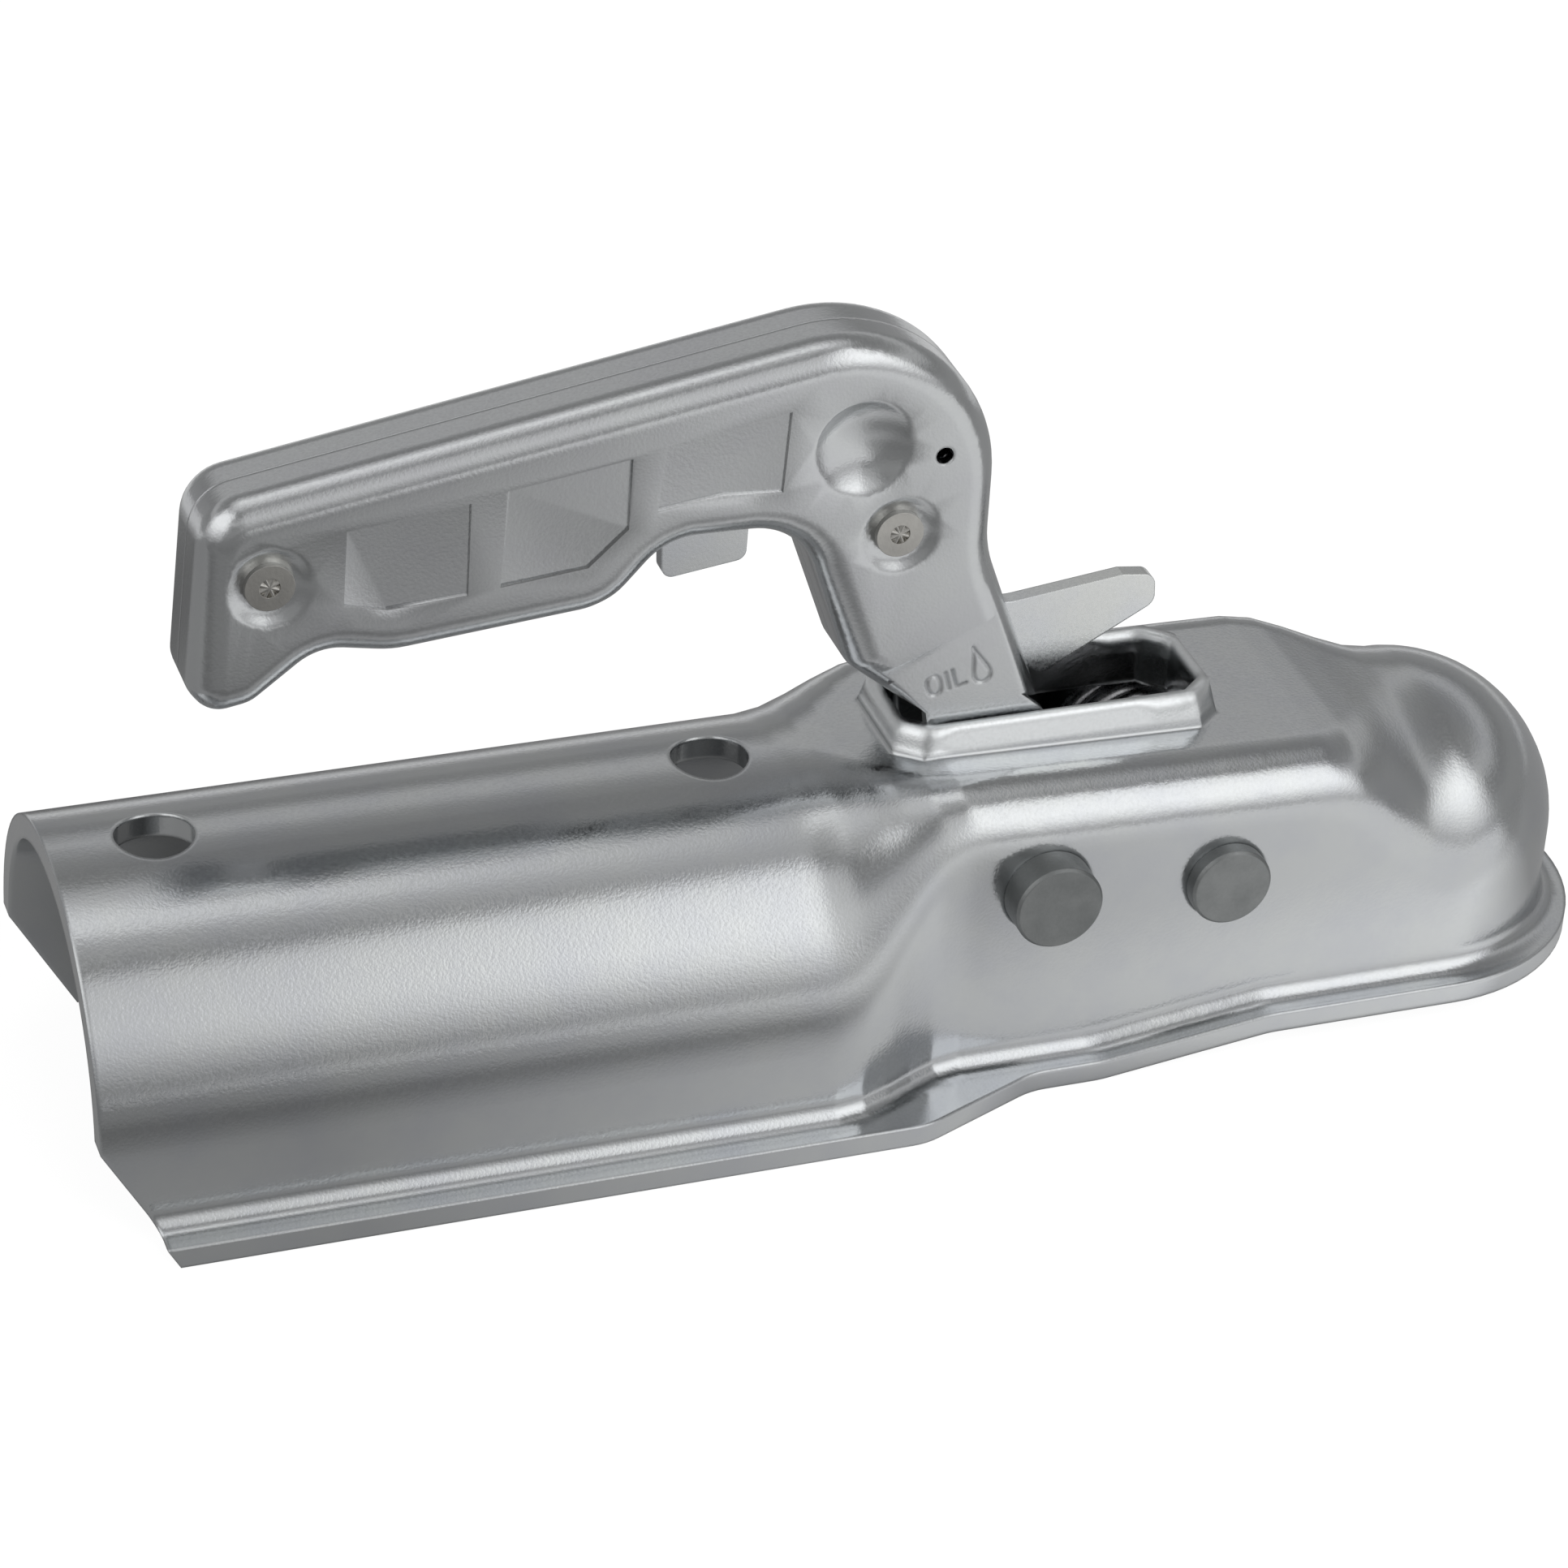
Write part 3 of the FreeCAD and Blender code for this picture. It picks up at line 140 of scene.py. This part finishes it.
def steel(name, colour, tint, rough, spread, grain, edge=0.5, blotch=70.0, grain_size=1800.0, wide_edge_and_highlight=None):
    """Plated or bare steel: base tone with faint clouds, uneven gloss, a fine grain and rounded edges."""
    material, n, shader = new_material(name)
    shader.inputs["Metallic"].default_value = 1.0
    where = n.add("ShaderNodeTexCoord")
    clouds = n.add("ShaderNodeTexNoise", Scale=blotch, Detail=5.0, Roughness=0.6)
    n.link(where, "Object", clouds, "Vector")
    tone = n.add("ShaderNodeMix", data_type="RGBA")
    tone.inputs["A"].default_value = (*colour, 1)
    tone.inputs["B"].default_value = (*tint, 1)
    share = n.span(clouds, "Fac", 0.4, 0.65)
    n.link(share, "Result", tone, "Factor")
    n.link(tone, "Result", shader, "Base Color")
    specks = n.add("ShaderNodeTexNoise", Scale=grain_size, Detail=1.0, Roughness=0.6)
    n.link(where, "Object", specks, "Vector")
    gloss = n.span(specks, "Fac", 0.3, 0.7, rough - spread, rough + spread)
    n.link(gloss, "Result", shader, "Roughness")
    bump = n.add("ShaderNodeBump", Strength=grain, Distance=0.1 * MM)
    n.link(specks, "Fac", bump, "Height")
    if edge:
        bevel = n.add("ShaderNodeBevel", samples=6, Radius=edge * MM)
        n.link(bevel, "Normal", bump, "Normal")
        # The housing's step here also paints a highlight into the collar's base colour
        if wide_edge_and_highlight:
            wide_edge_and_highlight(n, where, bevel, edge, tone)
    n.link(bump, "Normal", shader, "Normal")
    return material


def soft_bends_and_collar_highlight(n, where, bevel, edge, tone):
    """Wider rounding where the pressing swells from one form to the next; the slot's collar is round, with a painted
    highlight lightening its base colour.
    """
    axes = n.add("ShaderNodeSeparateXYZ")
    n.link(where, "Object", axes, 0)

    def zone(axis, ends, blur):
        start, end = ends
        return n.joined("MULTIPLY", n.span(axes, axis, (start - blur) * MM, start * MM),
                        n.span(axes, axis, end * MM, (end + blur) * MM, 1, 0))

    bends = n.joined("MAXIMUM", zone("X", SWELLS[0], 3), zone("X", SWELLS[1], 3))
    bends = n.joined("MULTIPLY", bends, zone("Z", SWELL_HEIGHT, 4))
    collar = n.joined("MULTIPLY", zone("X", COLLAR_LENGTH, 1), zone("Z", COLLAR_HEIGHT, 0.8))
    corners = n.joined("MULTIPLY", collar, n.span(zone("X", COLLAR_MIDDLE, 4), 0, 0, 1, 0.6, 0.25))
    share = n.joined("MAXIMUM", bends, corners)
    # Painted highlight: the base colour over the collar is lightened to a pale grey
    bright = n.add("ShaderNodeMix", data_type="RGBA")
    bright.inputs["B"].default_value = (*COLLAR_PAINTED_HIGHLIGHT, 1)
    n.link(collar, 0, bright, "Factor")
    n.link(tone, "Result", bright, "A")
    n.link(bright, "Result", n.tree.nodes["Principled BSDF"], "Base Color")
    n.link(n.span(share, 0, 0, 1, edge * MM, WIDE_EDGE * MM), 0, bevel, "Radius")
    bevel.samples = 12


def smooth(obj, angle=32):
    """Smooth shading with the true corners kept."""
    for p in obj.data.polygons:
        p.use_smooth = True
    obj.data.set_sharp_from_angle(angle=math.radians(angle))


def dress(names, material):
    for name in names:
        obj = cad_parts[name]
        obj.data.materials.clear()
        obj.data.materials.append(material)


def add_object(name, mesh):
    obj = bpy.data.objects.new(name, mesh)
    bpy.context.scene.collection.objects.link(obj)
    return obj


def mesh_from(name, bm):
    mesh = bpy.data.meshes.new(name)
    bm.to_mesh(mesh)
    bm.free()
    return mesh


zinc_housing = steel("zinc_housing", (0.60, 0.615, 0.62), (0.57, 0.585, 0.605), 0.18, 0.04, 0.2, 1.2,
                     wide_edge_and_highlight=soft_bends_and_collar_highlight)
zinc_handle = steel("zinc_handle", (0.62, 0.635, 0.64), (0.60, 0.61, 0.625), 0.2, 0.04, 0.22, 0.8)
zinc_trigger = steel("zinc_trigger", (0.80, 0.815, 0.80), (0.76, 0.78, 0.81), 0.26, 0.05, 0.12, 0.4, blotch=40.0)
bare_pin = steel("bare_pin", (0.29, 0.30, 0.30), (0.22, 0.23, 0.23), 0.45, 0.05, 0.2, 0.3)
rivet_steel = steel("rivet_steel", (0.55, 0.54, 0.51), (0.42, 0.41, 0.39), 0.34, 0.06, 0.25, 0.15)
spring_steel = steel("spring_steel", (0.55, 0.55, 0.56), (0.46, 0.46, 0.47), 0.28, 0.05, 0.1, 0)
forged_jaw = steel("forged_jaw", (0.16, 0.16, 0.16), (0.12, 0.12, 0.12), 0.5, 0.05, 0.3, 0.3)

dress(["housing"], zinc_housing)
dress(["handle_shell_near", "handle_shell_far", "pull_links"], zinc_handle)
dress(["trigger_catch"], zinc_trigger)
dress(["pivot_pin", "jaw_pin", "pivot_bush", "pivot_spacers", "link_pin", "jaw_link_pin", "jaw_sleeves",
       "front_rivet_sleeve", "rear_rivet_spacer"], bare_pin)
dress(["handle_front_rivet", "handle_rear_rivet"], rivet_steel)
dress(["main_spring", "trigger_spring", "link_pin_clips", "jaw_link_clips"], spring_steel)
dress(["clamp_jaw"], forged_jaw)

# Crimped ends: a low star of petals in a ring on each rivet head
STAR_RAD = 3.9 * MM
PETALS = 8
PETAL_HIGH = 0.55  # ridges and rim over the hollows, millimetres
STAR_RINGS, STAR_STEPS = 24, 128


def star(name, centre, side):
    """Round face pressed into petals, on one end of a rivet."""
    bm = bmesh.new()
    grid = []
    for i in range(STAR_RINGS + 1):
        t = i / STAR_RINGS
        row = []
        for k in range(STAR_STEPS):
            a = 2 * math.pi * k / STAR_STEPS
            turn = a % (2 * math.pi / PETALS) - math.pi / PETALS
            off = min(t * abs(math.sin(turn)) / 0.2, 1)
            ridge = 1 - off * off * (3 - 2 * off)
            rim = min(max((t - 0.8) / 0.1, 0), 1)
            height = (PETAL_HIGH * max(ridge, rim) - 0.95 - 2.5 * max(t - 0.94, 0)) * MM
            row.append(bm.verts.new((centre.x + STAR_RAD * t * math.cos(a), side * (HANDLE_HALF + height),
                                     centre.z + STAR_RAD * t * math.sin(a))))
        grid.append(row)
    base = [bm.verts.new((v.co.x, side * (HANDLE_HALF - 2.2 * MM), v.co.z)) for v in grid[STAR_RINGS]]
    grid.append(base)
    for i in range(STAR_RINGS + 1):
        for k in range(STAR_STEPS):
            m = (k + 1) % STAR_STEPS
            bm.faces.new([grid[i][k], grid[i + 1][k], grid[i + 1][m], grid[i][m]])
    bm.faces.new(base)
    bmesh.ops.remove_doubles(bm, verts=bm.verts, dist=1e-6)
    bmesh.ops.recalc_face_normals(bm, faces=bm.faces)
    obj = add_object(name, mesh_from(name, bm))
    obj.data.materials.append(rivet_steel)
    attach(obj, "handle")
    smooth(obj, 50)


for tag, spot in (("front", FRONT_RIVET), ("rear", REAR_RIVET)):
    star("%s_rivet_star_near" % tag, spot, -1)
    star("%s_rivet_star_far" % tag, spot, 1)

# Oiling mark pressed into the near cheek: three letters and a drop
MARK_AT = Vector((11.0, 69.8)) * MM
MARK_TURN = math.radians(16)
LETTER = 3.9 * MM
GROOVE = 0.32 * MM


def groove(points, closed):
    """Round bar along a line on the cheek's face, to be cut out of it."""
    curve = bpy.data.curves.new("groove", "CURVE")
    curve.dimensions = "3D"
    curve.bevel_depth = GROOVE
    curve.bevel_resolution = 2
    curve.use_fill_caps = True
    line = curve.splines.new("POLY")
    line.points.add(len(points) - 1)
    line.use_cyclic_u = closed
    c, s = math.cos(MARK_TURN), math.sin(MARK_TURN)
    for spot, (u, v) in zip(line.points, points):
        u, v = u * LETTER, v * LETTER
        spot.co = (MARK_AT.x + u * c - v * s, -CHEEK_HALF, MARK_AT.y + u * s + v * c, 1)
    holder = bpy.data.objects.new("groove", curve)
    mesh = bpy.data.meshes.new_from_object(holder)
    bpy.data.objects.remove(holder)
    return mesh


def oval(u, v, wide, tall, count=28, squareness=0.75):
    """Closed letter O, a little squarer than an ellipse."""
    spots = []
    for k in range(count):
        a = 2 * math.pi * k / count
        x, y = math.cos(a), math.sin(a)
        spots.append((u + wide * math.copysign(abs(x) ** squareness, x),
                      v + tall * math.copysign(abs(y) ** squareness, y)))
    return spots


def falling_drop(u, v, rad, tall, count=36):
    """Falling drop: round foot and a leaning tip."""
    spots = []
    for k in range(count):
        a = 2 * math.pi * k / count
        x, y = math.sin(a), -math.cos(a)
        lift = (1 + y) / 2
        spots.append((u + rad * x * (1 - lift ** 2.2) - 0.12 * lift ** 3,
                      v + rad + rad * y + (tall - 2 * rad) * lift ** 2.4))
    return spots


def pressed_cheek():
    """The near shell with the oiling mark cut into its cheek."""
    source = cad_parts["handle_shell_near"]
    bm = bmesh.new()
    bm.from_mesh(source.data)
    bmesh.ops.remove_doubles(bm, verts=bm.verts, dist=2e-6)
    shell = add_object("handle_shell_near_marked", mesh_from("handle_shell_near_marked", bm))
    shell.data.materials.clear()
    shell.data.materials.append(zinc_handle)
    bars = bmesh.new()
    for points, closed in ((oval(0.32, 0.5, 0.32, 0.5), True), ([(0.98, 0.0), (0.98, 1.0)], False),
                           ([(1.32, 1.0), (1.32, 0.0), (1.86, 0.0)], False),
                           (falling_drop(2.62, -0.28, 0.46, 2.0), True)):
        bars.from_mesh(groove(points, closed))
    cutter = add_object("mark_cutter", mesh_from("mark_cutter", bars))
    change = shell.modifiers.new("mark", "BOOLEAN")
    change.operation = "DIFFERENCE"
    change.solver = "EXACT"
    change.use_self = True
    change.object = cutter
    bpy.context.view_layer.update()
    done = bpy.data.meshes.new_from_object(shell.evaluated_get(bpy.context.evaluated_depsgraph_get()))
    shell.modifiers.clear()
    shell.data = done
    bpy.data.objects.remove(cutter)
    smooth(shell, 28)
    even = shell.modifiers.new("even", "WEIGHTED_NORMAL")
    even.keep_sharp = True
    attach(shell, "handle")
    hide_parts("handle_shell_near")


pressed_cheek()


def wound_spring(name, side):
    """Half of the main spring, cut from it at the middle plane and closed at the cut."""
    bm = bmesh.new()
    bm.from_mesh(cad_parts["main_spring"].data)
    bmesh.ops.remove_doubles(bm, verts=bm.verts, dist=2e-6)
    cut = bmesh.ops.bisect_plane(bm, geom=bm.verts[:] + bm.edges[:] + bm.faces[:], plane_co=(0, 0, 0),
                                 plane_no=(0, -side, 0), clear_outer=True)
    bmesh.ops.holes_fill(bm, edges=[e for e in cut["geom_cut"] if isinstance(e, bmesh.types.BMEdge)])
    spring = add_object(name, mesh_from(name, bm))
    spring.data.materials.clear()
    spring.data.materials.append(spring_steel)
    smooth(spring)
    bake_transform(spring)
    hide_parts("main_spring")


wound_spring("main_spring_near_half", -1)
wound_spring("main_spring_far_half", 1)

# What the metal sees: brightness against height (0 straight down, 0.5 level, 1 straight up)
FRONT_SKY = [(0.0, 0.3), (0.43, 0.25), (0.526, 0.55), (0.612, 0.95), (0.695, 1.35), (0.772, 1.5), (0.872, 1.45),
             (0.925, 1.35), (0.952, 0.5), (0.98, 0.85), (1.0, 1.0)]
BACK_SKY = [(0.0, 0.3), (0.43, 0.3), (0.6, 0.32), (0.68, 0.25), (0.765, 0.55), (0.854, 0.3), (0.933, 0.24),
            (0.975, 0.6), (1.0, 1.1)]
FRONT_SIDE = math.radians(-64)  # the softbox's own side, from +X
REAR_SIDE = math.radians(200)  # a second softbox, out of the photograph's reflections
# Painted light and shade on the floor as the metal mirrors it: glow against distance towards the camera, 0 to 600 mm,
# and across, -100 to 140 mm
FLOOR_RUN = [(0.0, 0.9), (0.09, 1.0), (0.19, 0.28), (0.33, 0.75), (0.48, 0.42), (0.65, 0.5), (1.0, 0.6)]


def sky():
    """Studio round the part: a softbox on the camera's side, one behind, dark elsewhere, white to the camera."""
    w = bpy.data.worlds.new("studio")
    bpy.context.scene.world = w
    w.use_nodes = True
    n = Nodes(w.node_tree)
    shade, out = w.node_tree.nodes["Background"], w.node_tree.nodes["World Output"]
    where = n.add("ShaderNodeTexCoord")
    axes = n.add("ShaderNodeSeparateXYZ")
    n.link(where, "Generated", axes, 0)
    height = n.span(axes, "Z", -1, 1)
    front, back = n.ramp(height, "Result", FRONT_SKY), n.ramp(height, "Result", BACK_SKY)
    level = n.add("ShaderNodeVectorMath", operation="MULTIPLY")
    level.inputs[1].default_value = (1, 1, 0)
    n.link(where, "Generated", level, 0)
    unit = n.add("ShaderNodeVectorMath", operation="NORMALIZE")
    n.link(level, 0, unit, 0)
    shares = []
    for facing, start, full in ((FRONT_SIDE, 0.79, 0.96), (REAR_SIDE, 0.72, 0.92)):
        side = n.add("ShaderNodeVectorMath", operation="DOT_PRODUCT")
        side.inputs[1].default_value = (math.cos(facing), math.sin(facing), 0)
        n.link(unit, 0, side, 0)
        shares.append(n.span(side, "Value", start, full, kind="SMOOTHSTEP"))
    share = n.joined("MAXIMUM", shares[0], shares[1])
    fade = n.joined("MAXIMUM", n.span(axes, "X", 0.20, 0.32, 0.5, 1.0), n.span(shares[1], 0, 0, 1, 0, 0.85))
    fading = n.add("ShaderNodeVectorMath", operation="SCALE")
    n.link(front, "Color", fading, 0)
    n.link(fade, 0, fading, "Scale")
    mix = n.add("ShaderNodeMix", data_type="RGBA")
    n.link(share, 0, mix, "Factor")
    n.link(back, "Color", mix, "A")
    n.link(fading, 0, mix, "B")
    n.link(mix, "Result", shade, "Color")
    shade.inputs["Strength"].default_value = GLARE
    plain = n.add("ShaderNodeBackground")
    path = n.add("ShaderNodeLightPath")
    both = n.add("ShaderNodeMixShader")
    n.link(path, "Is Camera Ray", both, "Fac")
    n.link(shade, "Background", both, 1)
    n.link(plain, "Background", both, 2)
    plain.inputs["Color"].default_value = (1, 1, 1, 1)
    n.link(both, 0, out, "Surface")


PAINTED_SHADOW_FOOTPRINT = (0.135, 0.042)  # half length and half width of the painted shadow under the part, in the floor's glow that the metal mirrors, metres
FLOOR_HALF = 6.0  # half side of the floor, metres
FLOOR_DROP = 0.5 * MM


def stage():
    """Plain pale floor: white with a faint soft shadow to the camera; to the metal it glows grey with painted light
    and shade, and a painted shadow under and behind the part.
    """
    bm = bmesh.new()
    bmesh.ops.create_grid(bm, x_segments=1, y_segments=1, size=FLOOR_HALF)
    floor = add_object("floor", mesh_from("floor", bm))
    floor.location.z = -FLOOR_DROP
    material, n, shader = new_material("floor_pale")
    out = n.tree.nodes["Material Output"]
    n.tree.nodes.remove(shader)
    plain = n.add("ShaderNodeBsdfDiffuse", Color=(0.8, 0.8, 0.8, 1))
    white = n.add("ShaderNodeEmission", Strength=1.14)
    white.inputs["Color"].default_value = (1, 1, 1, 1)
    path = n.add("ShaderNodeLightPath")
    amount = n.span(path, "Is Camera Ray", 0, 1, 0, 0.82)
    seen = n.add("ShaderNodeMixShader")
    n.link(amount, "Result", seen, "Fac")
    n.link(plain, "BSDF", seen, 1)
    n.link(white, "Emission", seen, 2)
    place = n.add("ShaderNodeNewGeometry")
    axes = n.add("ShaderNodeSeparateXYZ")
    n.link(place, "Position", axes, 0)
    # Painted light: the glow seen by the metal rises across towards +X
    across = n.span(axes, "X", -0.10, 0.14, 0.26 * GLARE, 1.05 * GLARE)
    run = n.span(axes, "Y", 0.0, -0.6)
    tone = n.ramp(run, "Result", FLOOR_RUN)
    # Painted shade: the glow dims behind the part and towards its nose
    lean = n.add("ShaderNodeMath", operation="MULTIPLY_ADD")
    n.link(axes, "X", lean, 0)
    lean.inputs[1].default_value = 0.55
    n.link(axes, "Y", lean, 2)
    behind = n.span(lean, 0, 0.02, 0.075, 1.0, 0.3)
    sizes = []
    for axis, half in (("X", PAINTED_SHADOW_FOOTPRINT[0]), ("Y", PAINTED_SHADOW_FOOTPRINT[1])):
        part = n.add("ShaderNodeMath", operation="MULTIPLY")
        n.link(axes, axis, part, 0)
        part.inputs[1].default_value = 1 / half
        size = n.add("ShaderNodeMath", operation="ABSOLUTE")
        n.link(part, 0, size, 0)
        sizes.append(size)
    # Painted shadow: the glow dims over the part's footprint on the floor
    painted_shadow_under = n.span(n.joined("MAXIMUM", sizes[0], sizes[1]), 0, 0.8, 1.05, 0.35, 1.0)
    glow = n.joined("MAXIMUM", tone, n.span(axes, "X", -0.02, 0.06, 0, 0.8 / GLARE))
    for factor in (across, behind, painted_shadow_under):
        glow = n.joined("MULTIPLY", glow, factor)
    glow = n.joined("MAXIMUM", glow, n.span(axes, "Y", 0.18, 0.4, 0, 0.7))
    mirrored = n.add("ShaderNodeEmission")
    mirrored.inputs["Color"].default_value = (1, 1, 1, 1)
    n.link(glow, 0, mirrored, "Strength")
    gloss = n.span(path, "Is Glossy Ray", 0, 1, 0, 0.85)
    mix = n.add("ShaderNodeMixShader")
    n.link(gloss, "Result", mix, "Fac")
    n.link(seen, 0, mix, 1)
    n.link(mirrored, "Emission", mix, 2)
    n.link(mix, 0, out, "Surface")
    floor.data.materials.append(material)


def softbox(name, place, target, wide, tall, power):
    """Soft light that shapes shadows and dull pieces; the sky's own softbox is what the metal mirrors."""
    light = bpy.data.lights.new(name, "AREA")
    light.shape = "RECTANGLE"
    light.size, light.size_y, light.energy = wide, tall, power
    obj = add_object(name, light)
    obj.location = place
    obj.rotation_euler = (Vector(target) - Vector(place)).to_track_quat("-Z", "Y").to_euler()
    obj.visible_glossy = False


camera()
stage()
sky()
softbox("key", (0.3, -1.2, 1.3), (0, 0, 0.05), 1.2, 0.8, 12)
bpy.context.scene.view_settings.view_transform = "Standard"
